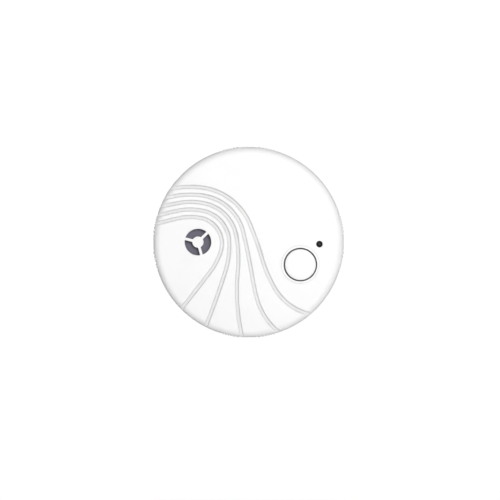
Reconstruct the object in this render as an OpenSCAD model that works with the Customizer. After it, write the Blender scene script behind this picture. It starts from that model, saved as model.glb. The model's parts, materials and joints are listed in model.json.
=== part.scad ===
// Round surface-mounted smoke detector, millimetres.
// The wall is the plane Y = 0, the face looks towards -Y and +Z is up.
// Inside the modules the object lies on its back: x right, y up, z out of the wall.

/* [Body] */
// Outer diameter of the front cover
body_d = 101; // [100:0.5:106]
// Height of the middle of the face above the wall
body_depth = 40; // [40:0.5:46]
// Radius of the slight dome of the face
dome_r = 650; // [500:50:1000]
// Radius of the cover's rounded edge
edge_r = 4; // [3:0.5:5]
// Wall thickness of the plastic shells
wall = 2.2; // [1.8:0.1:2.4]
// Height of the joint between rear housing and front cover
split_z = 14.2; // [13:0.2:16]

/* [Face grooves] */
// Width of a groove
groove_w = 1.9; // [1.2:0.1:2.4]
// Depth of a groove
groove_depth = 1; // [0.3:0.1:1.1]

/* [Grips and inlets] */
// Height of the grip ridges above the side wall
ridge_proud = 0.3; // [0.1:0.05:0.4]
// Depth of the notches beside the grip ridges, into the side wall
notch_depth = 0.4; // [0.2:0.05:0.5]
// Smoke inlet slots in each quarter of the side wall
inlets = 8; // [4:1:8]
// Width of an inlet slot
inlet_w = 3.2; // [2:0.1:3.4]
// Height of an inlet slot
inlet_h = 8; // [5:0.5:8]

/* [Button, light and sounder] */
// Centre of the test button
button_at = [27.4, -11.9];
// Radius of the button cap
button_r = 8.25; // [7:0.05:8.5]
// Gap round the button cap
button_gap = 0.6; // [0.4:0.1:0.7]
// Radius of the low step round the button
bezel_r = 10; // [9.5:0.1:10.5]
// Travel of the button
button_travel = 0.8; // [0.4:0.1:1]
// Centre of the status light
light_at = [37.5, -1.1];
// Centre of the sounder opening
sounder_at = [-26.8, 0];
// Radius of the sounder opening
sounder_r = 7; // [6:0.1:7.5]
// Radius of the hub in the sounder opening
hub_r = 3; // [2.5:0.1:3.5]
// Width of the three spokes that hold the hub
spoke_w = 1.5; // [1:0.1:2]

/* [Mounting plate] */
// Diameter of the mounting plate
plate_d = 90; // [88:0.5:91]
// Thickness of the mounting plate
plate_t = 2.4; // [2:0.1:2.6]
// Distance between the two screw slots
slot_spacing = 60; // [50:1:60]
// Width of a screw slot
slot_w = 4.4; // [3.6:0.1:5]
// End-to-end length of a screw slot
slot_length = 10; // [8:0.5:11]
// Width of each bayonet tab as an angle
tab_angle = 18; // [12:1:20]

/* [Smoke chamber and battery] */
// Centre of the smoke chamber
chamber_at = [6, 14];
// Radius of the smoke chamber
chamber_r = 19; // [17:0.5:19]
// Vanes in the chamber's labyrinth
vanes = 22; // [12:1:24]
// Diameter of the battery cell
cell_d = 16.8; // [16:0.1:17]
// Length of the battery cell, without its nub
cell_length = 33; // [32:0.5:33.5]
// Centre of the battery cell
cell_at = [0, -20];

/* [Hidden] */
$fn = 96;

eps = 0.01;
gap = 0.4;                       // clearance between pieces that come apart
body_r = body_d / 2;
cover_in_r = body_r - wall;
dome_z = body_depth - dome_r;    // height of the dome's centre
cover_z = split_z + 0.8;         // lower rim of the front cover
edge_z = body_depth - edge_r - (body_r - edge_r) * (body_r - edge_r) / (2 * dome_r);
inlet_z = 24.5;                  // bottom of the inlet slots
NOTCH_ANGLES = [5.2, 7.8, 9.8, 11.4, 13, 14.6, 16.2]; // from the middle of a grip
notch_w = 1.1;                   // between two ridge tops
pad_drop = 0.05;                 // of the flat pad's middle below the side wall
grip_half = NOTCH_ANGLES[6] + 0.9;
bezel_rise = 0.3;                // step round the button above the face
groove_step = 6;                 // turn between two points of a groove's edge

// Each groove: height of its left end on the rim, heading there, then its arcs as
// [length, turn]; a turn is in degrees, positive to the left.
GROOVES = [
  [9.6, 14.5, [[12.5, -1.5], [12, -23.5], [24, -98.5], [12, -18.5], [38, -1]]],
  [13.9, 16, [[11.5, -4.5], [14, -25], [22.5, -74.5], [16.5, -19.5], [34, -5]]],
  [18.7, 12, [[10, -1], [15.5, -26.5], [23.5, -63.5], [19, -16.5], [46, 24]]],
  [22.9, 18, [[21.5, -27], [30.5, -68], [25, -3.5], [10.5, 5.5], [25, 42]]],
  [28.1, 12, [[17, -18.5], [33.5, -60.5], [19, -7], [18, 14.5], [25, 49]]]
];

// Heights of the stack inside the housing
housing_z = 0.8;                 // lower rim of the rear housing
floor_z = 3;                     // back of the rear housing's floor
floor_t = 1.6;
trough_z = 8.2;                  // floor of the ring trough that takes the plate's collar
board_z = 22.6;
board_t = 1.6;
board_top = board_z + board_t;
board_r = 44;

// Bayonet
housing_in_r = 46.6;
housing_r = 48.9;
collar_r = 42;                   // outer radius of the plate's collar
collar_t = 2.4;
tab_r = 45;
tab_z = 5.4;
tab_t = 2;
trough_in_r = 39;
ledge_r = collar_r + 0.6;
TAB_ANGLES = [30, 150, 270];

// Mounting plate
plate_chamfer = 0.6;
pocket_depth = 1.2;              // moulded hollows in the plate's back
pocket_angle = 46;
POCKET_ANGLES = [45, 135, 225, 315];
POCKET_RADII = [[13, 23.5], [25.5, 37.5]];

// Fasteners
POST_ANGLES = [30, 110, 215, 320];
post_at_r = 42.6;
post_r = 3.2;
housing_screw_r = 1.3;
post_joint_z = 16;               // where housing boss and cover post meet
BOARD_POST_ANGLES = [75, 150, 270];
board_post_at_r = 38;
board_post_r = 2.8;
board_screw_r = 1.1;

// Battery
cell_r = cell_d / 2;
cell_z = floor_z + 0.9 + cell_r;
nub_r = 3.2;
nub_h = 1;
pocket_l = 41;
pocket_w = 18.4;
pocket_top = board_z - 0.3;

// Button and switch
button_top = dome_height(button_at) + bezel_rise;
flange_z = 33;                   // underside of the flange that keeps the button in
flange_t = 1;
flange_r = button_r + 1.9;
guide_r = button_r + button_gap; // guide ring under the cover
guide_t = 1.2;
switch_w = 12;
switch_h = 3.6;
switch_floor = board_top + 1;    // floor of the well the plunger slides in
plunger_r = 3.4;
plunger_z = switch_floor + button_travel + 0.4;
plunger_top = 31.4;

// Status light
light_hole_r = 1.7;
light_pipe_r = 1.5;
light_flange_z = body_depth - 5;
light_tip_r = 0.75;
light_tip_z = body_depth - 2.7;

// Smoke chamber
chamber_floor = board_top + 1.6;
chamber_top = 34.6;
optic_z = 30;
optic_r = 2.4;
emitter_dir = 200;
receiver_dir = 325;
optic_at_r = 12;                 // distance of each optic's middle from the chamber's centre
lead_r = 0.25;
lead_pitch = 2.54;

// Sounder
horn_r = 15;
horn_z = 27;
horn_top = 35;
throat_r = 2.2;
piezo_z = 29.6;

function dome_height(p) = dome_z + sqrt(dome_r * dome_r - p[0] * p[0] - p[1] * p[1]);

// Pose [x, y, heading] at the fraction f of one arc [length, turn] from pose p
function arc_at(p, arc, f) =
  let (r = arc[0] * 180 / PI / arc[1], h = p[2] + arc[1] * f)
  [p[0] + r * (sin(h) - sin(p[2])), p[1] - r * (cos(h) - cos(p[2])), h];
function pose(p, arcs, i) = i == 0 ? p : arc_at(pose(p, arcs, i - 1), arcs[i - 1], 1);

// One edge of a groove, beside its centre line by side
function groove_edge(groove, side) =
  let (start = [-sqrt(body_r * body_r - groove[0] * groove[0]), groove[0], groove[1]])
  [for (i = [0 : len(groove[2]) - 1])
    let (p = pose(start, groove[2], i),
         arc = groove[2][i],
         steps = ceil(abs(arc[1]) / groove_step))
    for (j = [i == 0 ? 0 : 1 : steps])
      let (q = arc_at(p, arc, j / steps))
      [q[0] - side * sin(q[2]), q[1] + side * cos(q[2])]];

// Places what is modelled lying on its back on the wall, face towards -Y
module on_wall() {
  rotate([90, 0, 0])
    children();
}

module at(p, z = 0) {
  translate([p[0], p[1], z])
    children();
}

module polar(angle, r, z = 0) {
  rotate(angle)
    translate([r, 0, z])
      children();
}

module tube(r_out, r_in, h) {
  difference() {
    cylinder(r = r_out, h = h);
    translate([0, 0, -1])
      cylinder(r = r_in, h = h + 2);
  }
}

// Part of a ring between two radii, centred on the angle
module ring_part(angle, width, r_in, r_out, h) {
  rotate(angle - width / 2)
    rotate_extrude(angle = width)
      translate([r_in, 0])
        square([r_out - r_in, h]);
}

module groove_strip(groove, w, h) {
  left = groove_edge(groove, w / 2);
  right = groove_edge(groove, -w / 2);
  linear_extrude(h)
    polygon(concat(left, [for (i = [len(right) - 1 : -1 : 0]) right[i]]));
}

// Solid of the cover's outer form, shrunk by inset
module cover_form(inset) {
  r = body_r - inset;
  e = edge_r - inset / 2;
  z = edge_z - inset / 2;
  intersection() {
    rotate_extrude()
      union() {
        translate([0, cover_z - 1])
          square([r, z - cover_z + 1]);
        translate([0, cover_z])
          square([r - e, body_depth + 1 - cover_z]);
        intersection() {
          translate([r - e, z])
            circle(r = e);
          translate([r - e, z - eps])
            square([e, e + 1]);
        }
      }
    translate([0, 0, dome_z])
      sphere(r = dome_r - inset, $fn = 240);
  }
}

// Band that stands out of the side wall, before its pad and ridges are cut
module grip_band() {
  translate([0, 0, cover_z + 1.5])
    ring_part(0, 2 * NOTCH_ANGLES[6], body_r - wall / 2, body_r + ridge_proud, edge_z - cover_z - 2);
}

// The flat pad's face, and the notches that part the band into ridges
module grip_cut() {
  depth = ridge_proud + notch_depth;
  pad_half_w = body_r * sin(NOTCH_ANGLES[0]);
  translate([body_r - pad_drop, -pad_half_w, cover_z - 1])
    cube([1, 2 * pad_half_w, body_depth - cover_z]);
  for (side = [-1, 1])
    for (a = NOTCH_ANGLES)
      polar(side * a, body_r - notch_depth, cover_z - 1)
        linear_extrude(body_depth - cover_z)
          polygon([[0, 0], [2 * depth, -notch_w], [2 * depth, notch_w]]);
}

module inlet_slots() {
  span = 90 - 2 * grip_half - 6;
  for (quarter = [0 : 3])
    for (i = [0 : inlets - 1])
      polar(45 + 90 * quarter - span / 2 + span * i / (inlets - 1), body_r - 4, inlet_z)
        translate([0, -inlet_w / 2, 0])
          cube([8, inlet_w, inlet_h]);
}

module spoked_hub(h) {
  cylinder(r = hub_r, h = h);
  for (a = [45, 165, 285])
    rotate(a)
      translate([0, -spoke_w / 2, 0])
        cube([sounder_r + 0.5, spoke_w, h]);
}

// Solid under a low step of the face, bounded by a dome just above the face
module bezel() {
  intersection() {
    at(button_at, body_depth - 2.5)
      cylinder(r = bezel_r, h = 3);
    translate([0, 0, dome_z])
      sphere(r = dome_r + bezel_rise, $fn = 240);
  }
}

module front_cover() {
  color("white") on_wall() difference() {
    union() {
      bezel();
      difference() {
        cover_form(0);
        cover_form(wall);
        translate([0, 0, cover_z - 5])
          cylinder(r = body_r + 1, h = 5);
      }
      for (quarter = [0 : 3])
        rotate(90 * quarter)
          grip_band();
      for (a = POST_ANGLES)
        polar(a, post_at_r, post_joint_z + 0.2)
          cylinder(r = post_r, h = edge_z + 2.5 - post_joint_z);
      at(button_at, flange_z + flange_t + 0.1)
        cylinder(r = guide_r + guide_t, h = body_depth - wall - flange_z - flange_t);
    }
    for (quarter = [0 : 3])
      rotate(90 * quarter)
        grip_cut();
    inlet_slots();
    for (a = POST_ANGLES)
      polar(a, post_at_r, post_joint_z)
        cylinder(r = housing_screw_r + 0.05, h = 12);
    difference() {
      translate([0, 0, body_depth - 5])
        for (g = GROOVES)
          groove_strip(g, groove_w, 6);
      translate([0, 0, dome_z])
        sphere(r = dome_r - groove_depth, $fn = 240);
    }
    at(button_at, body_depth - 8)
      cylinder(r = guide_r, h = 10);
    at(light_at, body_depth - 8)
      cylinder(r = light_hole_r, h = 10);
    at(sounder_at, body_depth - 8)
      difference() {
        cylinder(r = sounder_r, h = 10);
        spoked_hub(10);
      }
  }
}

module test_button() {
  color("whitesmoke") on_wall() at(button_at) {
    translate([0, 0, flange_z])
      cylinder(r = flange_r, h = flange_t);
    difference() {
      translate([0, 0, flange_z])
        cylinder(r = button_r, h = body_depth - flange_z);
      translate([0, 0, button_top - dome_r])
        difference() {
          translate([0, 0, dome_r - 8])
            cylinder(r = body_r, h = 20);
          sphere(r = dome_r, $fn = 240);
        }
    }
    translate([0, 0, plunger_top + 0.05])
      cylinder(r = 2.5, h = flange_z - plunger_top);
  }
}

module light_pipe() {
  color("lightgray") on_wall() at(light_at) {
    translate([0, 0, board_top + 2])
      cylinder(r = light_pipe_r, h = light_flange_z - board_top - 2);
    translate([0, 0, light_flange_z])
      cylinder(r = light_hole_r + 0.9, h = 0.8);
    translate([0, 0, light_flange_z])
      cylinder(r = light_tip_r, h = light_tip_z - light_flange_z);
    translate([0, 0, light_tip_z])
      sphere(r = light_tip_r);
  }
}

module status_light() {
  color("gold") on_wall() at(light_at, board_top) {
    translate([-1.6, -1.4, 0])
      cube([3.2, 2.8, 0.9]);
    translate([0, 0, 0.9])
      cylinder(r = 1.1, h = 0.6);
  }
}

module housing_shell() {
  rotate_extrude()
    polygon([
      [trough_in_r - wall, floor_z], [trough_in_r, floor_z], [trough_in_r, trough_z],
      [housing_in_r, trough_z], [housing_in_r, housing_z], [housing_r - 0.7, housing_z],
      [housing_r, housing_z + 1], [housing_r, split_z], [cover_in_r - 0.2, split_z],
      [cover_in_r - 0.2, split_z + 4], [housing_in_r - 0.2, split_z + 4],
      [housing_in_r - 0.2, trough_z + floor_t], [trough_in_r - wall, trough_z + floor_t]
    ]);
}

module battery_pocket(grow, z, top) {
  at(cell_at, z)
    translate([-pocket_l / 2 - grow, -pocket_w / 2 - grow, 0])
      cube([pocket_l + 2 * grow, pocket_w + 2 * grow, top - z]);
}

module rear_housing() {
  color("gainsboro") on_wall() difference() {
    union() {
      housing_shell();
      translate([0, 0, floor_z])
        cylinder(r = trough_in_r - wall / 2, h = floor_t);
      battery_pocket(1.2, floor_z, pocket_top);
      for (a = TAB_ANGLES) {
        translate([0, 0, floor_z])
          ring_part(a, tab_angle, ledge_r, housing_in_r + 0.5, tab_z - gap - floor_z);
        translate([0, 0, floor_z])
          ring_part(a + tab_angle / 2 + 2.2, 3, ledge_r, housing_in_r + 0.5, trough_z - floor_z + 0.5);
      }
      for (a = POST_ANGLES)
        polar(a, post_at_r, trough_z + 0.4)
          cylinder(r = post_r, h = post_joint_z - trough_z - 0.4);
      for (a = BOARD_POST_ANGLES)
        polar(a, board_post_at_r, trough_z + 0.4)
          cylinder(r = board_post_r, h = board_z - trough_z - 0.4);
    }
    battery_pocket(0, floor_z - 1, pocket_top - 1);
    for (a = POST_ANGLES)
      polar(a, post_at_r, trough_z - 1) {
        cylinder(r = 2.7, h = 5);
        cylinder(r = housing_screw_r + 0.2, h = 12);
      }
    for (a = BOARD_POST_ANGLES)
      polar(a, board_post_at_r, board_z - 8)
        cylinder(r = board_screw_r + 0.05, h = 10);
  }
}

module mounting_plate() {
  color("gainsboro") on_wall() difference() {
    union() {
      cylinder(r = plate_d / 2 - plate_chamfer, h = plate_t);
      rotate_extrude()
        polygon([
          [collar_r, 0], [plate_d / 2 - plate_chamfer, 0], [plate_d / 2, plate_chamfer],
          [plate_d / 2, plate_t], [collar_r, plate_t]
        ]);
      tube(collar_r, collar_r - collar_t, tab_z + tab_t);
      for (a = TAB_ANGLES)
        translate([0, 0, tab_z])
          ring_part(a, tab_angle, collar_r - 0.5, tab_r, tab_t);
      polar(90, 24, plate_t)
        cylinder(r = 1.4, h = 0.4);
    }
    for (side = [-1, 1])
      translate([side * slot_spacing / 2, 0, -1])
        slot_cutter(plate_t + 2);
    detent_cut();
    for (a = POCKET_ANGLES)
      for (r = POCKET_RADII)
        translate([0, 0, -1])
          ring_part(a, pocket_angle, r[0], r[1], 1 + pocket_depth);
  }
}

module slot_cutter(h) {
  reach = (slot_length - slot_w) / 2;
  for (side = [-1, 1])
    translate([side * reach, 0, 0])
      cylinder(r = slot_w / 2, h = h);
  translate([-reach, -slot_w / 2, 0])
    cube([2 * reach, slot_w, h]);
}

// U-shaped cut that frees the sprung detent tongue
module detent_cut() {
  translate([0, 22, -1]) {
    translate([-4.4, -10, 0])
      cube([1.2, 16, plate_t + 2]);
    translate([3.2, -10, 0])
      cube([1.2, 16, plate_t + 2]);
    translate([-4.4, 5, 0])
      cube([8.8, 1.2, plate_t + 2]);
  }
}

module circuit_board() {
  color("seagreen") on_wall() difference() {
    translate([0, 0, board_z])
      cylinder(r = board_r, h = board_t);
    for (a = POST_ANGLES)
      polar(a, post_at_r, board_z - 1)
        cylinder(r = post_r + 0.8, h = board_t + 2);
    for (a = BOARD_POST_ANGLES)
      polar(a, board_post_at_r, board_z - 1)
        cylinder(r = board_screw_r + 0.2, h = board_t + 2);
  }
}

module controller_chip() {
  color("dimgray") on_wall() at([14, -31], board_top) {
    translate([-3.5, -3.5, 0.15])
      cube([7, 7, 1.2]);
    for (side = [0 : 3])
      for (i = [-2 : 2])
        rotate(90 * side)
          translate([3.4, i * 1.2 - 0.2, 0])
            cube([1, 0.4, 0.3]);
  }
}

module capacitors() {
  color("slategray") on_wall()
    for (p = [[-9, -33], [-17, -30]])
      at(p, board_top) {
        cylinder(r = 3.1, h = 6.2);
        translate([-3.3, -3.3, 0])
          cube([6.6, 6.6, 0.8]);
      }
}

module sounder_coil() {
  color("sienna") on_wall() at([3, -27], board_top) {
    cylinder(r = 4, h = 1);
    cylinder(r = 2.8, h = 6);
    translate([0, 0, 5])
      cylinder(r = 4, h = 1);
  }
}

module board_components() {
  color("tan") on_wall() {
    for (i = [0 : 5])
      at([-4 + 3.2 * i, -18], board_top)
        cube([2, 1.25, 0.6]);
    for (i = [0 : 3])
      at([26 + 3.2 * i, 8], board_top)
        cube([2, 1.25, 0.6]);
    for (i = [0 : 4])
      at([-30 + 3 * i, 23], board_top)
        cube([1.25, 2, 0.6]);
  }
}

module test_switch() {
  color("dimgray") on_wall() at(button_at, board_top) {
    difference() {
      translate([-switch_w / 2, -switch_w / 2, 0])
        cube([switch_w, switch_w, switch_h]);
      translate([0, 0, switch_floor - board_top])
        cylinder(r = plunger_r + 0.08, h = switch_h);
    }
  }
}

module switch_plunger() {
  color("firebrick") on_wall() at(button_at, plunger_z)
    cylinder(r = plunger_r, h = plunger_top - plunger_z);
}

module optic_hole(dir) {
  polar(dir, 0, optic_z)
    rotate([0, 90, 0])
      translate([0, 0, 6])
        cylinder(r = optic_r + 0.15, h = chamber_r);
}

module chamber_base() {
  color("dimgray") on_wall() at(chamber_at) difference() {
    union() {
      translate([0, 0, board_top])
        cylinder(r = chamber_r, h = chamber_floor - board_top);
      for (i = [0 : vanes - 1])
        if (vane_clear(360 * i / vanes))
          polar(360 * i / vanes, chamber_r - 3, chamber_floor - 0.1)
            rotate(50)
              translate([-2.6, -0.5, 0])
                cube([5.2, 1, chamber_top - chamber_floor]);
      for (dir = [emitter_dir, receiver_dir])
        polar(dir, 8, chamber_floor - 0.1)
          translate([0, -3.4, 0])
            cube([9.5, 6.8, optic_z + 3.2 - chamber_floor]);
    }
    for (dir = [emitter_dir, receiver_dir]) {
      optic_hole(dir);
      optic_leads(dir, lead_r + 0.15, board_top - 1);
    }
  }
}

// A vane stands only where no optic holder is in its way
function vane_clear(a) =
  min([for (dir = [emitter_dir, receiver_dir]) abs((a - dir + 540) % 360 - 180)]) > 19;

module chamber_lid() {
  color("dimgray") on_wall() at(chamber_at) {
    translate([0, 0, chamber_top])
      cylinder(r = chamber_r + 0.8, h = 1.4);
    translate([0, 0, chamber_top - 1.2])
      tube(chamber_r + 0.8, chamber_r + 0.3, 1.3);
  }
}

module insect_screen() {
  color("silver") on_wall() at(chamber_at, chamber_floor - 1)
    tube(chamber_r + 0.25, chamber_r + 0.05, chamber_top - chamber_floor + 0.95);
}

// The two leads of an optic, from a height up to its body
module optic_leads(dir, r, from) {
  for (side = [-1, 1])
    polar(dir, optic_at_r + 2.4, from)
      translate([0, side * lead_pitch / 2, 0])
        cylinder(r = r, h = optic_z - from);
}

// Round-nosed 5 mm lamp package lying on its side, nose towards the chamber's centre
module optic(dir) {
  at(chamber_at) {
    polar(dir, 0, optic_z)
      rotate([0, 90, 0])
        translate([0, 0, optic_at_r - 3]) {
          cylinder(r = optic_r, h = 6);
          sphere(r = optic_r);
        }
    optic_leads(dir, lead_r, board_top);
  }
}

module infrared_emitter() {
  color("midnightblue") on_wall() optic(emitter_dir);
}

module photodiode() {
  color("black") on_wall() optic(receiver_dir);
}

module photodiode_shield() {
  color("silver") on_wall() at(chamber_at)
    polar(receiver_dir, 8, chamber_floor) difference() {
      translate([-0.5, -4.2, 0.1])
        cube([9.8, 8.4, optic_z + 3.6 - chamber_floor]);
      translate([-1, -3.6, -1])
        cube([11, 7.2, optic_z + 4.2 - chamber_floor]);
    }
}

module sounder_horn() {
  color("slategray") on_wall() at(sounder_at) {
    translate([0, 0, horn_z])
      tube(horn_r, horn_r - 1.2, horn_top - horn_z);
    translate([0, 0, piezo_z + 0.3])
      tube(horn_r - 1.1, 12.4, 1.2);
    translate([0, 0, horn_top - 1.5])
      tube(horn_r, throat_r, 1.5);
    translate([0, 0, horn_top - 0.1])
      tube(10.6, sounder_r + 0.9, 0.9);
    for (a = [60, 180, 300])
      polar(a, horn_r - 1.2, board_top)
        cylinder(r = 1.1, h = horn_z - board_top + 0.5);
  }
}

module piezo_plate() {
  color("goldenrod") on_wall() at(sounder_at, piezo_z)
    cylinder(r = 13.5, h = 0.28);
}

module piezo_ceramic() {
  color("ivory") on_wall() at(sounder_at, piezo_z - 0.25)
    cylinder(r = 10, h = 0.25);
}

module piezo_contacts() {
  color("gold") on_wall() at(sounder_at, board_top) {
    polar(90, 5)
      cylinder(r = 0.9, h = 3.4);
    polar(90, 5)
      cylinder(r = 0.5, h = piezo_z - 0.3 - board_top);
    polar(210, 11.8)
      cylinder(r = 0.9, h = 3.4);
    polar(210, 11.8)
      cylinder(r = 0.5, h = piezo_z - 0.05 - board_top);
  }
}

module sounder_gasket() {
  color("black") on_wall() at(sounder_at, horn_top + 0.85)
    tube(10.4, sounder_r + 1.1, 0.85);
}

module battery_cell() {
  color("royalblue") on_wall() at(cell_at, cell_z)
    rotate([0, 90, 0])
      translate([0, 0, -cell_length / 2 - nub_h / 2]) {
        cylinder(r = cell_r, h = cell_length);
        translate([0, 0, cell_length - 0.1])
          cylinder(r = nub_r, h = nub_h + 0.1);
      }
}

// Sprung leaf at one end of the cell, with its tail up towards the board
module contact_leaf(side, bow) {
  x = side * (pocket_l / 2 - 0.6);
  at(cell_at) {
    translate([min(x, x + side * 0.4), -5, cell_z - 6])
      cube([0.4, 10, 12]);
    translate([x - side * bow, 0, cell_z])
      rotate([0, side * 90, 0])
        cylinder(r = 3, h = bow);
  }
}

module battery_contact_plus() {
  color("silver") on_wall() contact_leaf(1, 2.4);
}

module battery_contact_minus() {
  color("silver") on_wall() contact_leaf(-1, 2.4);
}

module battery_ribbon() {
  color("firebrick") on_wall() at(cell_at) {
    translate([-3, -pocket_w / 2 + 0.1, floor_z + 0.4])
      cube([6, 0.4, cell_z + 2]);
    translate([-3, -pocket_w / 2 + 0.1, floor_z + 0.1])
      cube([6, 12, 0.4]);
  }
}

module pan_screw(r, length, head_r, head_h) {
  difference() {
    cylinder(r = head_r, h = head_h);
    for (a = [0, 90])
      rotate(a)
        translate([-head_r * 0.6, -0.3, -1])
          cube([head_r * 1.2, 0.6, 1 + head_h * 0.6]);
  }
  translate([0, 0, head_h - 0.1])
    cylinder(r = r, h = length);
}

module housing_screws() {
  color("silver") on_wall()
    for (a = POST_ANGLES)
      polar(a, post_at_r, trough_z + 2.2)
        pan_screw(housing_screw_r, 14, 2.4, 1.7);
}

module board_screws() {
  color("silver") on_wall()
    for (a = BOARD_POST_ANGLES)
      polar(a, board_post_at_r, board_top + 1.4)
        mirror([0, 0, 1])
          pan_screw(board_screw_r, 8, 2.1, 1.35);
}

mounting_plate();
rear_housing();
front_cover();
test_button();
light_pipe();
status_light();
circuit_board();
controller_chip();
capacitors();
sounder_coil();
board_components();
test_switch();
switch_plunger();
chamber_base();
chamber_lid();
insect_screen();
infrared_emitter();
photodiode();
photodiode_shield();
sounder_horn();
piezo_plate();
piezo_ceramic();
piezo_contacts();
sounder_gasket();
battery_cell();
battery_contact_plus();
battery_contact_minus();
battery_ribbon();
housing_screws();
board_screws();
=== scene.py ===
"""Looks of a round wall-mounted smoke detector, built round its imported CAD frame.

The shells are modelled lying on their back, in millimetres: x right, y up, z out of the wall.
row() turns such points into the frame's metres: the face looks towards -Y and +Z is up.
"""
import json
import math
from types import SimpleNamespace

import bpy
import numpy as np
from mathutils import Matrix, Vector


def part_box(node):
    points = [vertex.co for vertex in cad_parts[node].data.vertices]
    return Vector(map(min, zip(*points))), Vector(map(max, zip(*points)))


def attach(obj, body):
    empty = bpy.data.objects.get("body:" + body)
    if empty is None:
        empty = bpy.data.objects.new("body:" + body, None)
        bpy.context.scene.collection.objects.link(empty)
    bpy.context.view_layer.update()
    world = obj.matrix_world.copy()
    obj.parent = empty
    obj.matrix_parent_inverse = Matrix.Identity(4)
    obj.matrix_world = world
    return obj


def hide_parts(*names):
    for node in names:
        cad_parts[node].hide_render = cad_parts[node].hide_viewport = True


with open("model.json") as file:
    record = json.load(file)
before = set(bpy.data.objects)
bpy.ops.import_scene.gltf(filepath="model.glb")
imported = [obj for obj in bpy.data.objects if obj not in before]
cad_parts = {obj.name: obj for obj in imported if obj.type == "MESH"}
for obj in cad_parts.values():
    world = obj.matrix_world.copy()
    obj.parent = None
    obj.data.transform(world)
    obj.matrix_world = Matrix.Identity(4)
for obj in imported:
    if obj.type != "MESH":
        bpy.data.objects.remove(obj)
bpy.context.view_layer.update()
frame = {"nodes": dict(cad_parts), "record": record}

# ---------------------------------------------------------------- sizes, in millimetres


def node_box(node):
    """Lowest and highest corner of a CAD node, lying on its back."""
    low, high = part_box(node)
    return (
        np.array([low.x, low.z, -high.y]) * 1000,
        np.array([high.x, high.z, -low.y]) * 1000,
    )


def node_centre(node):
    """Middle of a CAD node, seen from the front."""
    low, high = node_box(node)
    return (low[:2] + high[:2]) / 2


COVER_LOW, COVER_HIGH = node_box("front_cover")
RIM_R = 50.5                 # side wall, outside the grips
COVER_BACK = COVER_LOW[2]    # lower rim of the front cover
FACE_Z = COVER_HIGH[2]       # middle of the face
DOME_R = 650.0
EDGE_R = 4.0                 # rounding between the face and the side wall
BACK_EDGE_R = 0.5            # rounding of the lower rim
WALL = 2.2
FLAT_R = RIM_R - EDGE_R      # where the rounded edge starts
EDGE_Z = FACE_Z - EDGE_R - FLAT_R ** 2 / (2 * DOME_R)
FILLET = 0.35                # rounded edge of each opening
DISC_N = 400                 # points along each side of the face's grid
EDGE_ROWS = 18               # rows of points over the rounded edge

BUTTON_AT = node_centre("test_button")
BUTTON_LOW, BUTTON_HIGH = node_box("test_button")
FLANGE_OUT = 1.9             # the flange that keeps the button in, beyond the cap
FLANGE_Z = 33.0
FLANGE_T = 1.0
BUTTON_R = (BUTTON_HIGH - BUTTON_LOW)[0] / 2 - FLANGE_OUT
BUTTON_HOLE_R = BUTTON_R + 0.6
BUTTON_EDGE_R = 0.5
CROWN_IN = 1.2               # the flat crown starts this far inside the cap's side
CROWN_RISE = 0.15            # and this far above its rounded edge
STEM_R = 2.5
GUIDE_T = 1.2                # wall of the guide ring under the cover
GUIDE_GAP = 0.1              # above the flange
BEZEL_R = 10.0               # low step round the button
BEZEL_RISE = 0.3
BEZEL_EDGE_R = 0.2
BEZEL_SUNK = 0.6             # how deep the step's outside goes into the face

LIGHT_AT = node_centre("light_pipe")
LIGHT_HOLE_R = 1.7
LIGHT_TIP_R = 0.75
PIPE_R = 1.5
PIPE_FLANGE_R = 2.6
PIPE_FLANGE_T = 0.8
PIPE_FLANGE_Z = FACE_Z - 5

SOUNDER_AT = node_centre("sounder_horn")
SOUNDER_R = 7.0
HUB_R = 3.0
SPOKE_W = 1.5
SPOKES = (45, 165, 285)
WINDOW_CORNER = 0.2

POST_ANGLES = (30, 110, 215, 320)
POST_AT_R = 42.6
POST_R = 3.2
SCREW_R = 1.35
POST_LOW = 16.2              # where the cover's posts meet the housing's
POST_HIGH = EDGE_Z + 1.5     # inside the face's wall

NOTCH_ANGLES = (5.2, 7.8, 9.8, 11.4, 13, 14.6, 16.2)   # from the middle of each grip
NOTCH_HALF = 0.7             # degrees
NOTCH_DEPTH = 0.35           # below the side wall
RIDGE_PROUD = 0.3            # above the side wall
PAD_DROP = 0.05              # of the flat pad's middle
GRIP_HALF = NOTCH_ANGLES[-1] + 0.9

INLETS = 8                   # smoke inlets between two grips
INLET_SPAN = 90 - 2 * GRIP_HALF - 6
INLET_W = 3.2
INLET_H = 8.0
INLET_Z = 24.5
INLET_CORNER = 0.8

GROOVE_DEPTH = 1.0
GROOVE_TOP = 1.15            # half width at the face
GROOVE_FLOOR = 0.6           # half width of the floor
# Height of the left end on the rim, heading there, then arcs as (length, turn in degrees)
GROOVES = (
    (9.6, 14.5, ((12.5, -1.5), (12, -23.5), (24, -98.5), (12, -18.5), (38, -1))),
    (13.9, 16, ((11.5, -4.5), (14, -25), (22.5, -74.5), (16.5, -19.5), (34, -5))),
    (18.7, 12, ((10, -1), (15.5, -26.5), (23.5, -63.5), (19, -16.5), (46, 24))),
    (22.9, 18, ((21.5, -27), (30.5, -68), (25, -3.5), (10.5, 5.5), (25, 42))),
    (28.1, 12, ((17, -18.5), (33.5, -60.5), (19, -7), (18, 14.5), (25, 49))),
)

# ---------------------------------------------------------------- looks

WHITE = (0.90, 0.90, 0.90)
SHADE_SPAN = (0.35, 0.95)    # open sky fraction for the painted shade: darkest, and left alone
DEEP_SHADE = 0.12            # open sky fraction at the bottom of a deep gap, where the painted shade is nearly black
BACKGROUND = 1.02            # strength of the white behind the detector
FLOOR_Z = -0.16              # metres
FLOOR_WASH = (0.12, 0.24)    # metres from the middle: still paper, already white
VIEW_WIDTH = 0.2655          # metres of the detector's plane that the camera sees

# ---------------------------------------------------------------- mesh helpers


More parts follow.
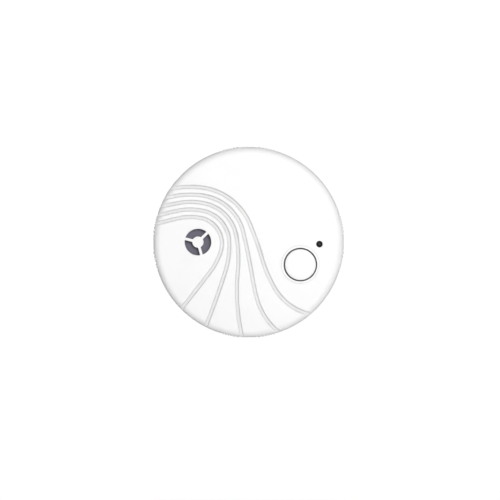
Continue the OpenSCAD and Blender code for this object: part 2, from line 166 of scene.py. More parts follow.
def row(points):
    """Points lying on their back, in millimetres, as the frame's metres."""
    p = np.asarray(points, float)
    return np.column_stack([p[:, 0], -p[:, 2], p[:, 1]]) / 1000


def make_piece(name, points, faces, material, smooth_angle=35):
    """A new mesh piece, with edges sharper than the angle kept crisp."""
    mesh = bpy.data.meshes.new(name)
    mesh.from_pydata(row(points).tolist(), [], faces)
    mesh.update()
    mesh.shade_smooth()
    mesh.set_sharp_from_angle(angle=math.radians(smooth_angle))
    mesh.materials.append(material)
    piece = bpy.data.objects.new(name, mesh)
    bpy.context.scene.collection.objects.link(piece)
    return piece


def smoothstep(t):
    t = np.clip(t, 0, 1)
    return t * t * (3 - 2 * t)


def dome(x, y):
    """Height of the face without its grooves."""
    return FACE_Z - (x * x + y * y) / (2 * DOME_R)


# ---------------------------------------------------------------- grooves


def groove_arcs():
    """Every arc of every groove as (centre x, centre y, radius, start angle, sweep)."""
    arcs = []
    for start_y, heading, steps in GROOVES:
        x, y, h = -math.sqrt(RIM_R ** 2 - start_y ** 2), start_y, math.radians(heading)
        for length, turn in steps:
            sweep = math.radians(turn)
            r = length / sweep
            cx, cy = x - r * math.sin(h), y + r * math.cos(h)
            start = math.atan2(y - cy, x - cx)
            arcs.append((cx, cy, abs(r), start, sweep))
            h += sweep
            x, y = cx + r * math.sin(h), cy - r * math.cos(h)
    return arcs


ARCS = groove_arcs()


def groove_distance(x, y):
    """Distance from each point to the nearest groove's centre line."""
    best = np.full(x.shape, 1e3)
    for cx, cy, r, start, sweep in ARCS:
        angle = np.arctan2(y - cy, x - cx) - start
        if sweep < 0:
            angle = -angle
        angle = np.mod(angle + 0.05, 2 * math.pi) - 0.05
        off = np.abs(np.hypot(x - cx, y - cy) - r)
        slack = 0.02 / r
        inside = (angle >= -slack) & (angle <= abs(sweep) + slack)
        best = np.where(inside, np.minimum(best, off), best)
    return best


def groove_depth(x, y):
    """Depth below the face: flat along a groove's floor, with soft flanks."""
    d = groove_distance(x, y)
    return GROOVE_DEPTH * smoothstep((GROOVE_TOP - d) / (GROOVE_TOP - GROOVE_FLOOR))


def face_height(x, y):
    """Height of the face with its grooves."""
    return dome(x, y) - groove_depth(x, y)


# ---------------------------------------------------------------- openings


def circle_field(x, y, centre, r):
    """Signed distance to a round hole: negative inside it."""
    return np.hypot(x - centre[0], y - centre[1]) - r


def sounder_field(x, y):
    """Signed distance to the windows between the hub's spokes, with rounded corners."""
    u, v = x - SOUNDER_AT[0], y - SOUNDER_AT[1]
    r = np.hypot(u, v)
    terms = [r - SOUNDER_R, HUB_R - r]
    for a in SPOKES:
        c, s = math.cos(math.radians(a)), math.sin(math.radians(a))
        across = np.abs(-s * u + c * v)
        along = c * u + s * v
        terms.append(np.where(along > 0, SPOKE_W / 2 - across, -r))
    top = np.sort(np.stack(terms), axis=0)[-2:] + WINDOW_CORNER
    pushed = np.hypot(*np.maximum(top, 0))
    return np.minimum(top.max(axis=0), 0) + pushed - WINDOW_CORNER


def face_field(x, y):
    """Signed distance to the nearest opening in the face: negative inside one."""
    return np.minimum(
        np.minimum(
            circle_field(x, y, BUTTON_AT, BEZEL_R - FILLET - 0.5),
            circle_field(x, y, LIGHT_AT, LIGHT_HOLE_R),
        ),
        sounder_field(x, y),
    )


def inlet_field(s, z):
    """Signed distance to the nearest smoke inlet, over the unrolled side wall."""
    quarter = np.mod(np.degrees(s / RIM_R), 90)
    pitch = INLET_SPAN / (INLETS - 1)
    first = 45 - INLET_SPAN / 2
    i = np.clip(np.round((quarter - first) / pitch), 0, INLETS - 1)
    u = np.radians(quarter - first - i * pitch) * RIM_R
    v = z - (INLET_Z + INLET_H / 2)
    qx = np.abs(u) - INLET_W / 2 + INLET_CORNER
    qz = np.abs(v) - INLET_H / 2 + INLET_CORNER
    outside = np.hypot(np.maximum(qx, 0), np.maximum(qz, 0))
    return outside + np.minimum(np.maximum(qx, qz), 0) - INLET_CORNER


def gradient(field, x, y):
    """Direction, of length one, in which a field rises fastest."""
    e = 0.01
    gx = (field(x + e, y) - field(x - e, y)) / (2 * e)
    gy = (field(x, y + e) - field(x, y - e)) / (2 * e)
    n = np.maximum(np.hypot(gx, gy), 1e-6)
    return gx / n, gy / n


def snap_to_level(field, x, y, level):
    """Moves points along the field's slope until they lie at the level."""
    for _ in range(3):
        gx, gy = gradient(field, x, y)
        off = field(x, y) - level
        x, y = x - off * gx, y - off * gy
    return x, y


def border_edges(faces):
    """Edges used by one face only, each in its face's own direction."""
    f = np.asarray(faces)
    edges = np.concatenate([np.stack([f[:, i], f[:, (i + 1) % 4]], 1) for i in range(4)])
    key = np.sort(edges, axis=1)
    order = key[:, 0].astype(np.int64) * (key.max() + 1) + key[:, 1]
    _, first, count = np.unique(order, return_index=True, return_counts=True)
    return edges[first[count == 1]]


# ---------------------------------------------------------------- front cover

ON_FACE, ON_WALL, ON_EDGE = range(3)     # where a point of the cover's surface lies


def disc_grid(n, radius):
    """A square grid bent into a disc: x, y and quads, with the border points evenly spaced."""
    t = np.linspace(-1, 1, n)
    u, v = np.meshgrid(t, t, indexing="ij")
    wide = np.abs(u) > np.abs(v)
    u_safe = np.where(np.abs(u) < 1e-9, 1e-9, u)
    v_safe = np.where(np.abs(v) < 1e-9, 1e-9, v)
    r = np.where(wide, u, v)
    phi = np.where(wide, math.pi / 4 * v / u_safe, math.pi / 2 - math.pi / 4 * u / v_safe)
    x, y = radius * r * np.cos(phi), radius * r * np.sin(phi)
    index = np.arange(n * n).reshape(n, n)
    quads = np.stack(
        [index[:-1, :-1], index[1:, :-1], index[1:, 1:], index[:-1, 1:]], -1
    ).reshape(-1, 4)
    border = np.concatenate(
        [index[:-1, 0], index[-1, :-1], index[:0:-1, -1], index[0, :0:-1]]
    )
    return x.ravel(), y.ravel(), quads, border


def grip_outline(angle):
    """Radius of the side wall at an angle in degrees: a flat pad between notched bands."""
    near = np.abs(np.mod(angle + 45, 90) - 45)
    pad = (RIM_R - PAD_DROP) / np.cos(np.radians(near))
    band = (near > NOTCH_ANGLES[0]) & (near < NOTCH_ANGLES[-1])
    outline = np.where(near < NOTCH_ANGLES[0], pad, RIM_R + RIDGE_PROUD * band)
    for notch in NOTCH_ANGLES:
        open_part = 0.5 + 0.5 * np.cos(math.pi * np.clip((near - notch) / NOTCH_HALF, -1, 1))
        outline -= (outline - RIM_R + NOTCH_DEPTH) * open_part
    return outline


def grip_reach(outline, r, tilt):
    """Radius of one row of the side wall or a rounded edge once the grips are in it."""
    if tilt > math.pi / 2:
        return outline - (RIM_R - r)
    proud = np.maximum(outline - RIM_R, 0)
    return np.minimum(r, outline) + proud * smoothstep((math.degrees(tilt) - 40) / 40)


def side_heights():
    """Heights of the side wall's rows, close together where the inlets and grips need it."""
    over = INLET_Z + INLET_H + 0.6
    under = INLET_Z - 0.6
    return np.concatenate([
        np.linspace(EDGE_Z, over, 4)[1:-1],
        np.arange(over, under, -0.28),
        np.linspace(under, COVER_BACK + 2.4, 9),
        np.linspace(COVER_BACK + 2.1, COVER_BACK + 0.5, 6),
    ])


def rounded_rows(centre_r, centre_z, r, start, end, count):
    """Rows of a rounded edge as (radius, height, tilt of its outward side from the z axis)."""
    tilts = np.linspace(start, end, count + 1)[1:]
    return [(centre_r + r * math.sin(t), centre_z + r * math.cos(t), t) for t in tilts]


def cover_rows():
    """Rows from the face's border over the edge, down the side wall and round the lower rim."""
    upright = math.pi / 2
    rows = rounded_rows(FLAT_R, EDGE_Z, EDGE_R, FLAT_R / DOME_R, upright, EDGE_ROWS)
    rows += [(RIM_R, z, upright) for z in side_heights()]
    middle_r, middle_z = RIM_R - BACK_EDGE_R, COVER_BACK + BACK_EDGE_R
    return rows + rounded_rows(middle_r, middle_z, BACK_EDGE_R, upright, math.pi, 4)


def polar(r, angle, z):
    """Points at a radius, angle and height."""
    return np.column_stack([r * np.cos(angle), r * np.sin(angle), np.broadcast_to(z, angle.shape)])


def rolled_up(r, s, z):
    """Points of the unrolled side wall, rolled up again at a radius."""
    return polar(r, s / RIM_R, z)


def outer_row(angle, outline, r, z, tilt):
    """One row outside, with the grips; the grooves follow the rounded edge and fade out."""
    points = polar(grip_reach(outline, r, tilt), angle, z)
    points[:, 2] -= groove_depth(points[:, 0], points[:, 1]) * max(0, math.cos(tilt))
    return points


def inner_row(angle, r, z, tilt):
    """The same row one wall further in, square to the surface."""
    lean = min(tilt, math.pi / 2)
    return polar(r - WALL * math.sin(lean), angle, z - WALL * math.cos(lean))


def cover_skin():
    """Outer and inner surface of the cover, which share their quads, before any opening.

    zone says where each point lies, and unrolled is its place along and up the side wall.
    """
    x, y, face_quads, border = disc_grid(DISC_N, FLAT_R)
    inward = 1 - 0.8 / FLAT_R
    outer = [np.column_stack([x, y, face_height(x, y)])]
    inner = [np.column_stack([x * inward, y * inward, dome(x, y) - WALL])]
    zone = [np.full(len(x), ON_FACE)]
    unrolled = [np.zeros((len(x), 2))]
    quads = [face_quads]
    angle = np.arctan2(y[border], x[border])
    outline = grip_outline(np.degrees(angle))
    start = len(x)
    for r, z, tilt in cover_rows():
        outer.append(outer_row(angle, outline, r, z, tilt))
        inner.append(inner_row(angle, r, z, tilt))
        zone.append(np.full(len(angle), ON_WALL if tilt == math.pi / 2 else ON_EDGE))
        unrolled.append(np.column_stack([angle * RIM_R, np.full(len(angle), z)]))
        now = np.arange(start, start + len(angle))
        quads.append(np.stack([border, now, np.roll(now, -1), np.roll(border, -1)], 1))
        border = now
        start += len(angle)
    return SimpleNamespace(
        outer=np.vstack(outer), inner=np.vstack(inner), quads=np.vstack(quads),
        zone=np.concatenate(zone), unrolled=np.vstack(unrolled),
    )


def cut_openings(skin):
    """Drops the quads inside an opening and pulls the new border onto the opening's edge."""
    face, wall = skin.zone == ON_FACE, skin.zone == ON_WALL
    field = np.full(len(skin.outer), np.inf)
    field[face] = face_field(*skin.outer[face, :2].T)
    field[wall] = inlet_field(*skin.unrolled[wall].T)
    skin.quads = skin.quads[field[skin.quads].mean(axis=1) > FILLET]
    border = np.unique(border_edges(skin.quads))
    on_face = border[face[border]]
    x, y = snap_to_level(face_field, *skin.outer[on_face, :2].T, FILLET)
    skin.outer[on_face] = np.column_stack([x, y, face_height(x, y)])
    on_wall = border[wall[border]]
    s, z = snap_to_level(inlet_field, *skin.unrolled[on_wall].T, FILLET)
    skin.unrolled[on_wall] = np.column_stack([s, z])
    skin.outer[on_wall] = rolled_up(RIM_R, s, z)


def sunk_border(skin, border, back, down):
    """The openings' border moved back into each hole and down below the outer surface."""
    points = skin.outer[border]
    face, wall = skin.zone[border] == ON_FACE, skin.zone[border] == ON_WALL
    x, y, z = points[face].T
    gx, gy = gradient(face_field, x, y)
    points[face] = np.column_stack([x - gx * back, y - gy * back, z - down])
    s, z = skin.unrolled[border[wall]].T
    gs, gz = gradient(inlet_field, s, z)
    points[wall] = rolled_up(RIM_R - down, s - gs * back, z - gz * back)
    return points


def strip(upper, lower):
    """Quads between two matching lists of edges."""
    return np.stack([upper[:, 1], upper[:, 0], lower[:, 0], lower[:, 1]], 1)


def close_skin(skin):
    """Rounds each opening's edge over, and joins the outer and inner surface there and behind."""
    edges = border_edges(skin.quads)
    behind = skin.zone[edges[:, 0]] == ON_EDGE
    back_rim, openings = np.unique(edges[behind]), edges[~behind]
    border = np.unique(openings)
    rings = [
        sunk_border(skin, border, FILLET * math.sin(a), FILLET * (1 - math.cos(a)))
        for a in np.linspace(0, math.pi / 2, 5)[1:]
    ]
    skin.inner[border] = sunk_border(skin, border, FILLET, WALL)
    on_face = border[skin.zone[border] == ON_FACE]
    skin.inner[on_face, 2] = dome(*skin.inner[on_face, :2].T) - WALL
    points = np.vstack([skin.outer, *rings, skin.inner])
    inside = np.arange(len(points) - len(skin.inner), len(points))
    inside[back_rim] = back_rim    # both surfaces end in the same points there
    quads = [skin.quads, inside[skin.quads[:, ::-1]]]
    upper = openings
    for i in range(len(rings)):
        lower = len(skin.outer) + i * len(border) + np.searchsorted(border, openings)
        quads.append(strip(upper, lower))
        upper = lower
    quads.append(strip(upper, inside[openings]))
    kept, compact = np.unique(np.vstack(quads), return_inverse=True)
    return points[kept], compact.reshape(-1, 4)


# ---------------------------------------------------------------- turned pieces


def arc_points(cx, cz, r, start, end, steps):
    """Points of a profile along an arc, between two angles in degrees."""
    angles = np.radians(np.linspace(start, end, steps + 1))
    return [(cx + r * math.cos(a), cz + r * math.sin(a)) for a in angles]


def turned(profile, centre=(0, 0), count=160):
    """Turns a profile of (radius, height) about a line along z: points and faces."""
    points, faces, rings = [], [], []
    for r, z in profile:
        ring = len(points) + np.arange(1 if r < 1e-6 else count)
        a = 2 * math.pi * np.arange(len(ring)) / count
        points += [(centre[0] + r * math.cos(t), centre[1] + r * math.sin(t), z) for t in a]
        rings.append(ring)
    for low, high in zip(rings, rings[1:]):
        for i in range(count):
            corners = [low[i % len(low)], low[(i + 1) % count % len(low)]]
            corners += [high[(i + 1) % count % len(high)], high[i % len(high)]]
            faces.append(list(dict.fromkeys(corners)))
    return points, faces


def ring_profile(r_in, r_out, low, high, edge=0.2):
    """Closed outline of a plain ring with small chamfers on its outer edges."""
    return [
        (r_in, low), (r_out - edge, low), (r_out, low + edge), (r_out, high - edge),
        (r_out - edge, high), (r_in, high), (r_in, low),
    ]


def bezel_ring():
    """The low step round the button, which also makes the edge of its hole."""
    top_z = BEZEL_RISE - BEZEL_EDGE_R
    profile = [(BEZEL_R, -BEZEL_SUNK), (BUTTON_HOLE_R, -WALL)]
    profile += arc_points(BUTTON_HOLE_R + BEZEL_EDGE_R, top_z, BEZEL_EDGE_R, 180, 90, 5)
    profile += arc_points(BEZEL_R - BEZEL_EDGE_R, top_z, BEZEL_EDGE_R, 90, 0, 5)
    points, faces = turned((profile + profile[:1])[::-1], BUTTON_AT, 240)
    points = np.array(points)
    points[:, 2] += dome(points[:, 0], points[:, 1])
    return points.tolist(), faces


def build_cover(material):
    """The face, edge and side wall as one shell, with the guide ring and screw posts inside."""
    skin = cover_skin()
    cut_openings(skin)
    points, quads = close_skin(skin)
    points, faces = points.tolist(), quads.tolist()
    guide_low, guide_high = FLANGE_Z + FLANGE_T + GUIDE_GAP, FACE_Z - WALL - 0.2
    guide = ring_profile(BUTTON_HOLE_R + 0.02, BUTTON_HOLE_R + GUIDE_T, guide_low, guide_high)
    extra = [turned(guide, BUTTON_AT), bezel_ring()]
    post = ring_profile(SCREW_R, POST_R, POST_LOW, POST_HIGH)
    for a in np.radians(POST_ANGLES):
        extra.append(turned(post, (POST_AT_R * math.cos(a), POST_AT_R * math.sin(a)), 40))
    for more_points, more_faces in extra:
        faces += [[i + len(points) for i in f] for f in more_faces]
        points += more_points
    return make_piece("front_cover_shell", points, faces, material, 80)


def build_button(material):
    """The button cap: a flat crown with a rounded edge, its skirt, flange and stem."""
    low, top = BUTTON_LOW[2], BUTTON_HIGH[2]
    flange_r, flange_top = BUTTON_R + FLANGE_OUT, FLANGE_Z + FLANGE_T
    outline = [(0, low), (STEM_R, low), (STEM_R, FLANGE_Z), (flange_r, FLANGE_Z)]
    outline += [(flange_r, flange_top), (BUTTON_R, flange_top)]
    edge_z = top - CROWN_RISE - BUTTON_EDGE_R
    outline += arc_points(BUTTON_R - BUTTON_EDGE_R, edge_z, BUTTON_EDGE_R, 0, 80, 8)
    outline += [(BUTTON_R - CROWN_IN, top)] + [(r, top) for r in np.linspace(6, 0, 7)]
    points, faces = turned(outline, BUTTON_AT)
    return make_piece("test_button_cap", points, faces, material, 40)


def build_light_pipe(material):
    """Round pipe with a retaining flange and a thin domed tip behind the face."""
    low, high = node_box("light_pipe")
    flange_top = PIPE_FLANGE_Z + PIPE_FLANGE_T
    outline = [(0, low[2]), (PIPE_R, low[2]), (PIPE_R, PIPE_FLANGE_Z)]
    outline += [(PIPE_FLANGE_R, PIPE_FLANGE_Z), (PIPE_FLANGE_R, flange_top)]
    outline += [(LIGHT_TIP_R, flange_top)]
    outline += arc_points(0, high[2] - LIGHT_TIP_R, LIGHT_TIP_R, 0, 90, 10)[:-1] + [(0, high[2])]
    points, faces = turned(outline, LIGHT_AT, 64)
    return make_piece("light_pipe_lens", points, faces, material, 40)


# ---------------------------------------------------------------- materials


def new_material(name):
    """A material with its nodes, links and surface shader."""
    material = bpy.data.materials.new(name)
    material.use_nodes = True
    nodes = material.node_tree.nodes
    shader = nodes["Principled BSDF"]
    return material, nodes, material.node_tree.links, shader


def add_noise(nodes, links, scale, detail=3.0):
    """Cloudy noise over the piece, scaled per metre."""
    where = nodes.new("ShaderNodeTexCoord")
    noise = nodes.new("ShaderNodeTexNoise")
    noise.inputs["Scale"].default_value = scale
    noise.inputs["Detail"].default_value = detail
    links.new(where.outputs["Object"], noise.inputs["Vector"])
    return noise.outputs["Fac"]


def add_ramp(nodes, links, value, low, high, at=(0.3, 0.7)):
    """Spreads a value between two colours or greys."""
    ramp = nodes.new("ShaderNodeValToRGB")
    ramp.color_ramp.elements[0].position, ramp.color_ramp.elements[1].position = at
    ramp.color_ramp.elements[0].color = (*low, 1)
    ramp.color_ramp.elements[1].color = (*high, 1)
    links.new(value, ramp.inputs["Fac"])
    return ramp.outputs["Color"]


def add_bump(nodes, links, shader, height, strength, distance, rounding=0.0):
    """Relief from a height, on edges that are rounded by a radius if one is given."""
    bump = nodes.new("ShaderNodeBump")
    bump.inputs["Strength"].default_value = strength
    bump.inputs["Distance"].default_value = distance
    links.new(height, bump.inputs["Height"])
    if rounding:
        bevel = nodes.new("ShaderNodeBevel")
        bevel.samples = 4
        bevel.inputs["Radius"].default_value = rounding
        links.new(bevel.outputs["Normal"], bump.inputs["Normal"])
    links.new(bump.outputs["Normal"], shader.inputs["Normal"])


def grey(v):
    return (v, v, v)


def add_painted_shade(nodes, links, colour, reach, darkest):
    """Painted shade: darkens a colour in grooves and corners narrower than the reach, where less light gets
    in.
    """
    hollow = nodes.new("ShaderNodeAmbientOcclusion")
    hollow.samples = 8
    hollow.inputs["Distance"].default_value = reach
    tone = add_ramp(nodes, links, hollow.outputs["AO"], grey(darkest), grey(1), SHADE_SPAN)
    # a near-black stop of painted shade for the bottom of deep gaps, such as the ring round the button
    deep = tone.node.color_ramp.elements.new(DEEP_SHADE)
    deep.color = (*grey(0.03), 1)
    mix = nodes.new("ShaderNodeMixRGB")
    mix.blend_type = "MULTIPLY"
    mix.inputs["Fac"].default_value = 1.0
    links.new(colour, mix.inputs["Color1"])
    links.new(tone, mix.inputs["Color2"])
    return mix.outputs["Color"]


def moulded(name, colour, roughness, grain=9000, depth=4e-6, spread=0.02, rounding=0.0, shade=0):
    """Moulded plastic: a spark-eroded grain, faint cloudiness in colour and uneven sheen; with shade given,
    painted shade in its grooves, gaps and corners.
    """
    material, nodes, links, shader = new_material(name)
    cloud = add_noise(nodes, links, 60)
    low = tuple(c * (1 - spread) for c in colour)
    high = tuple(min(1, c * (1 + spread)) for c in colour)
    tint = add_ramp(nodes, links, cloud, low, high)
    if shade:
        tint = add_painted_shade(nodes, links, tint, 2e-3, shade)
    links.new(tint, shader.inputs["Base Color"])
    sheen = add_noise(nodes, links, 400, 4)
    links.new(
        add_ramp(nodes, links, sheen, grey(roughness - 0.05), grey(roughness + 0.05)),
        shader.inputs["Roughness"],
    )
    shader.inputs["Specular IOR Level"].default_value = 0.4
    add_bump(nodes, links, shader, add_noise(nodes, links, grain, 2), 0.5, depth, rounding)
    return material


def metal(name, colour, roughness, brush=(1, 1, 1), scale=900, rounding=0.0):
    """Rolled, drawn or plated metal: fine streaks along one way, and patchy polish."""
    material, nodes, links, shader = new_material(name)
    where = nodes.new("ShaderNodeTexCoord")
    stretch = nodes.new("ShaderNodeMapping")
    stretch.inputs["Scale"].default_value = brush
    streak = nodes.new("ShaderNodeTexNoise")
    streak.inputs["Scale"].default_value = scale
    links.new(where.outputs["Object"], stretch.inputs["Vector"])
    links.new(stretch.outputs["Vector"], streak.inputs["Vector"])
    low = tuple(c * 0.85 for c in colour)
    links.new(add_ramp(nodes, links, streak.outputs["Fac"], low, colour), shader.inputs["Base Color"])
    links.new(
        add_ramp(nodes, links, add_noise(nodes, links, 300), grey(roughness - 0.08), grey(roughness + 0.1)),
        shader.inputs["Roughness"],
    )
    shader.inputs["Metallic"].default_value = 1.0
    add_bump(nodes, links, shader, streak.outputs["Fac"], 0.3, 5e-6, rounding)
    return material


def clear_resin(name, tint, roughness=0.08):
    """Clear or smoked resin with flow marks just under its surface."""
    material, nodes, links, shader = new_material(name)
    flow = add_noise(nodes, links, 700)
    links.new(add_ramp(nodes, links, flow, tuple(c * 0.8 for c in tint), tint), shader.inputs["Base Color"])
    shader.inputs["Roughness"].default_value = roughness
    shader.inputs["Transmission Weight"].default_value = 0.75
    shader.inputs["IOR"].default_value = 1.49
    add_bump(nodes, links, shader, flow, 0.1, 1e-5)
    return material


def smoked_pipe(name):
    """Smoked, rough resin whose colour holds painted light: painted shade, near black, where it lies deep
    behind its hole, and a paler grey painted highlight at the tip.
    """
    material, nodes, links, shader = new_material(name)
    where = nodes.new("ShaderNodeTexCoord")
    axes = nodes.new("ShaderNodeSeparateXYZ")
    links.new(where.outputs["Object"], axes.inputs[0])
    out = nodes.new("ShaderNodeMath")
    out.operation = "MULTIPLY"
    out.inputs[1].default_value = -1
    links.new(axes.outputs["Y"], out.inputs[0])
    # painted light by height: painted shade deep in the hole, a painted highlight on the tip
    painted_light_span = ((FACE_Z - 3) / 1000, (FACE_Z - 2.2) / 1000)
    tint = add_ramp(nodes, links, out.outputs[0], grey(0.006), grey(0.075), painted_light_span)
    links.new(tint, shader.inputs["Base Color"])
    shader.inputs["Specular IOR Level"].default_value = 0.08
    flow = add_noise(nodes, links, 2500)
    links.new(add_ramp(nodes, links, flow, grey(0.35), grey(0.5)), shader.inputs["Roughness"])
    add_bump(nodes, links, shader, flow, 0.2, 2e-5)
    return material


def board_laminate(name):
    """Green solder mask with lighter copper tracks showing through it."""
    material, nodes, links, shader = new_material(name)
    where = nodes.new("ShaderNodeTexCoord")
    tracks = nodes.new("ShaderNodeTexBrick")
    tracks.inputs["Scale"].default_value = 320
    tracks.inputs["Mortar Size"].default_value = 0.06
    tracks.inputs["Color1"].default_value = (0.012, 0.16, 0.05, 1)
    tracks.inputs["Color2"].default_value = (0.015, 0.19, 0.06, 1)
    tracks.inputs["Mortar"].default_value = (0.05, 0.3, 0.1, 1)
    turn = nodes.new("ShaderNodeMapping")
    turn.inputs["Rotation"].default_value = (math.pi / 2, 0, 0)
    links.new(where.outputs["Object"], turn.inputs["Vector"])
    links.new(turn.outputs["Vector"], tracks.inputs["Vector"])
    links.new(tracks.outputs["Color"], shader.inputs["Base Color"])
    shader.inputs["Roughness"].default_value = 0.35
    add_bump(nodes, links, shader, tracks.outputs["Fac"], 0.3, 2e-5)
    return material


def woven(name, colour, scale):
    """Fine weave of two crossing sets of threads."""
    material, nodes, links, shader = new_material(name)
    where = nodes.new("ShaderNodeTexCoord")
    waves = []
    for direction in ("X", "Z"):
        wave = nodes.new("ShaderNodeTexWave")
        wave.bands_direction = direction
        wave.inputs["Scale"].default_value = scale
        links.new(where.outputs["Object"], wave.inputs["Vector"])
        waves.append(wave.outputs["Fac"])
    both = nodes.new("ShaderNodeMath")
    both.operation = "MULTIPLY"
    links.new(waves[0], both.inputs[0])
    links.new(waves[1], both.inputs[1])
    low = tuple(c * 0.4 for c in colour)
    links.new(add_ramp(nodes, links, both.outputs[0], low, colour, (0.0, 0.6)), shader.inputs["Base Color"])
    shader.inputs["Roughness"].default_value = 0.75
    add_bump(nodes, links, shader, both.outputs[0], 0.6, 5e-5)
    return material


MATERIALS = {
    # the white cover and button get painted shade in their grooves, gaps and corners
    "cover_plastic": moulded("cover_plastic", WHITE, 0.5, spread=0.008, shade=0.4),
    "button_plastic": moulded("button_plastic", WHITE, 0.45, spread=0.008, shade=0.4),
    "housing_plastic": moulded("housing_plastic", (0.84, 0.84, 0.83), 0.55, rounding=4e-4),
    "clear_plastic": smoked_pipe("clear_plastic"),
    "lamp_body": moulded("lamp_body", (0.8, 0.72, 0.3), 0.3),
    "board_laminate": board_laminate("board_laminate"),
    "chip_body": moulded("chip_body", (0.03, 0.03, 0.033), 0.6, rounding=1e-4),
    "capacitor_can": metal("capacitor_can", (0.75, 0.76, 0.78), 0.25, (1, 40, 1)),
    "copper_wire": metal("copper_wire", (0.72, 0.33, 0.14), 0.3, (1, 30, 1), 3000),
    "component_body": moulded("component_body", (0.42, 0.3, 0.18), 0.5),
    "switch_body": moulded("switch_body", (0.04, 0.04, 0.043), 0.5, rounding=2e-4),
    "plunger_plastic": moulded("plunger_plastic", (0.4, 0.03, 0.025), 0.4, rounding=2e-4),
    "chamber_plastic": moulded("chamber_plastic", (0.02, 0.02, 0.021), 0.7, rounding=2e-4),
    "screen_mesh": woven("screen_mesh", (0.5, 0.51, 0.52), 1200),
    "emitter_lens": clear_resin("emitter_lens", (0.12, 0.12, 0.25)),
    "photodiode_body": moulded("photodiode_body", (0.015, 0.015, 0.018), 0.2),
    "tinned_steel": metal("tinned_steel", (0.74, 0.75, 0.76), 0.35, rounding=2e-4),
    "horn_plastic": moulded("horn_plastic", (0.115, 0.112, 0.155), 0.5, rounding=2e-4),
    "piezo_brass": metal("piezo_brass", (0.8, 0.6, 0.28), 0.3, (60, 1, 1)),
    "piezo_ceramic": moulded("piezo_ceramic", (0.72, 0.7, 0.65), 0.35),
    "contact_metal": metal("contact_metal", (0.76, 0.74, 0.68), 0.3, rounding=1e-4),
    "gasket_foam": moulded("gasket_foam", (0.03, 0.03, 0.032), 0.9, 2500, 6e-5),
    "cell_wrap": moulded("cell_wrap", (0.06, 0.12, 0.35), 0.3, rounding=3e-4),
    "ribbon_fabric": woven("ribbon_fabric", (0.5, 0.06, 0.04), 1500),
    "screw_steel": metal("screw_steel", (0.68, 0.68, 0.67), 0.35, rounding=1e-4),
}


def dress_cad_nodes():
    """Gives every CAD node the material of its slot in the record."""
    slots = {s["node"]: s["material_slot"] for s in frame["record"]["subparts"]}
    for name, piece in frame["nodes"].items():
        piece.data.materials.clear()
        piece.data.materials.append(MATERIALS[slots[name]])


# ---------------------------------------------------------------- the scene


def add_wash(nodes, links, shader):
    """Turns a surface white to the camera as it lies further from the middle."""
    where = nodes.new("ShaderNodeTexCoord")
    radius = nodes.new("ShaderNodeVectorMath")
    radius.operation = "LENGTH"
    links.new(where.outputs["Object"], radius.inputs[0])
    ray = nodes.new("ShaderNodeLightPath")
    seen = nodes.new("ShaderNodeMath")
    seen.operation = "MULTIPLY"
    wash = add_ramp(nodes, links, radius.outputs["Value"], grey(0.5), grey(1), FLOOR_WASH)
    links.new(wash, seen.inputs[0])
    links.new(ray.outputs["Is Camera Ray"], seen.inputs[1])
    white = nodes.new("ShaderNodeEmission")
    white.inputs["Strength"].default_value = BACKGROUND
    mix = nodes.new("ShaderNodeMixShader")
    links.new(seen.outputs["Value"], mix.inputs["Fac"])
    links.new(shader.outputs["BSDF"], mix.inputs[1])
    links.new(white.outputs["Emission"], mix.inputs[2])
    links.new(mix.outputs["Shader"], nodes["Material Output"].inputs["Surface"])


def floor_paper(name):
    """Matt paper, shaded near the detector and washed out to white further away."""
    material, nodes, links, shader = new_material(name)
    fibre = add_noise(nodes, links, 30)
    links.new(add_ramp(nodes, links, fibre, grey(0.86), grey(0.9)), shader.inputs["Base Color"])
    shader.inputs["Roughness"].default_value = 0.9
    shader.inputs["Specular IOR Level"].default_value = 0.1
    add_bump(nodes, links, shader, add_noise(nodes, links, 900), 0.2, 2e-4)
    add_wash(nodes, links, shader)
    return material


def build_floor():
    bpy.ops.mesh.primitive_grid_add(
        x_subdivisions=8, y_subdivisions=8, size=24, location=(0, 0, FLOOR_Z)
    )
    floor = bpy.context.object
    floor.name = "floor"
    floor.data.materials.append(floor_paper("floor_paper"))


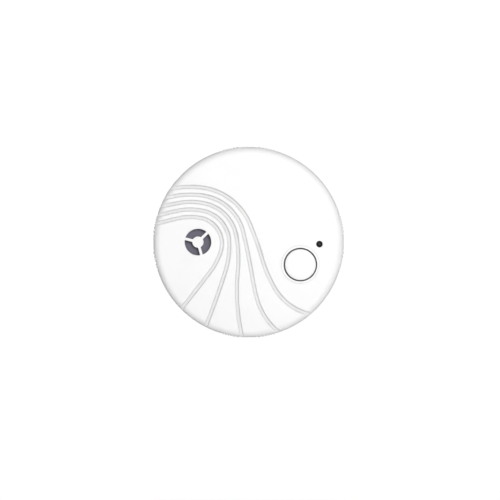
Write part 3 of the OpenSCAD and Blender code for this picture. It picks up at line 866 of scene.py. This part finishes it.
def build_world(ambient):
    """White to the camera, dimmer as light, so the background stays clean."""
    world = bpy.data.worlds.new("studio")
    bpy.context.scene.world = world
    world.use_nodes = True
    nodes, links = world.node_tree.nodes, world.node_tree.links
    nodes.clear()
    ray = nodes.new("ShaderNodeLightPath")
    seen = nodes.new("ShaderNodeBackground")
    seen.inputs["Color"].default_value = (1, 1, 1, 1)
    seen.inputs["Strength"].default_value = BACKGROUND
    light = nodes.new("ShaderNodeBackground")
    light.inputs["Color"].default_value = (1, 1, 1, 1)
    light.inputs["Strength"].default_value = ambient
    mix = nodes.new("ShaderNodeMixShader")
    out = nodes.new("ShaderNodeOutputWorld")
    links.new(ray.outputs["Is Camera Ray"], mix.inputs["Fac"])
    links.new(light.outputs["Background"], mix.inputs[1])
    links.new(seen.outputs["Background"], mix.inputs[2])
    links.new(mix.outputs["Shader"], out.inputs["Surface"])


def area_light(name, place, target, size, power, spread=180):
    """A round soft light aimed at a target, in metres, watts and degrees."""
    data = bpy.data.lights.new(name, "AREA")
    data.shape = "DISK"
    data.size = size
    data.energy = power
    data.spread = math.radians(spread)
    lamp = bpy.data.objects.new(name, data)
    lamp.location = place
    lamp.rotation_euler = (Vector(target) - Vector(place)).to_track_quat("-Z", "Y").to_euler()
    bpy.context.scene.collection.objects.link(lamp)


def build_camera():
    """Straight on from the front, through a long lens."""
    data = bpy.data.cameras.new("camera")
    data.lens = 200
    data.sensor_width = 36
    camera = bpy.data.objects.new("camera", data)
    distance = VIEW_WIDTH * data.lens / data.sensor_width
    camera.location = (0.00076, -0.034 - distance, -0.00418)
    camera.rotation_euler = (math.pi / 2, 0, 0)
    bpy.context.scene.collection.objects.link(camera)
    bpy.context.scene.camera = camera


dress_cad_nodes()

for build, body, node, slot in (
    (build_cover, "detector", "front_cover", "cover_plastic"),
    (build_button, "button", "test_button", "button_plastic"),
    (build_light_pipe, "detector", "light_pipe", "clear_plastic"),
):
    piece = build(MATERIALS[slot])
    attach(piece, body)
    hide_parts(node)

build_floor()
build_world(0.29)
area_light("key", (0.26, -1.5, 0.28), (0, -0.03, 0), 0.7, 15.7)
area_light("back_fill", (-0.3, 1.6, 0.15), (0, 0, 0), 0.25, 0.11, 16)
build_camera()
bpy.context.scene.view_settings.view_transform = "Standard"
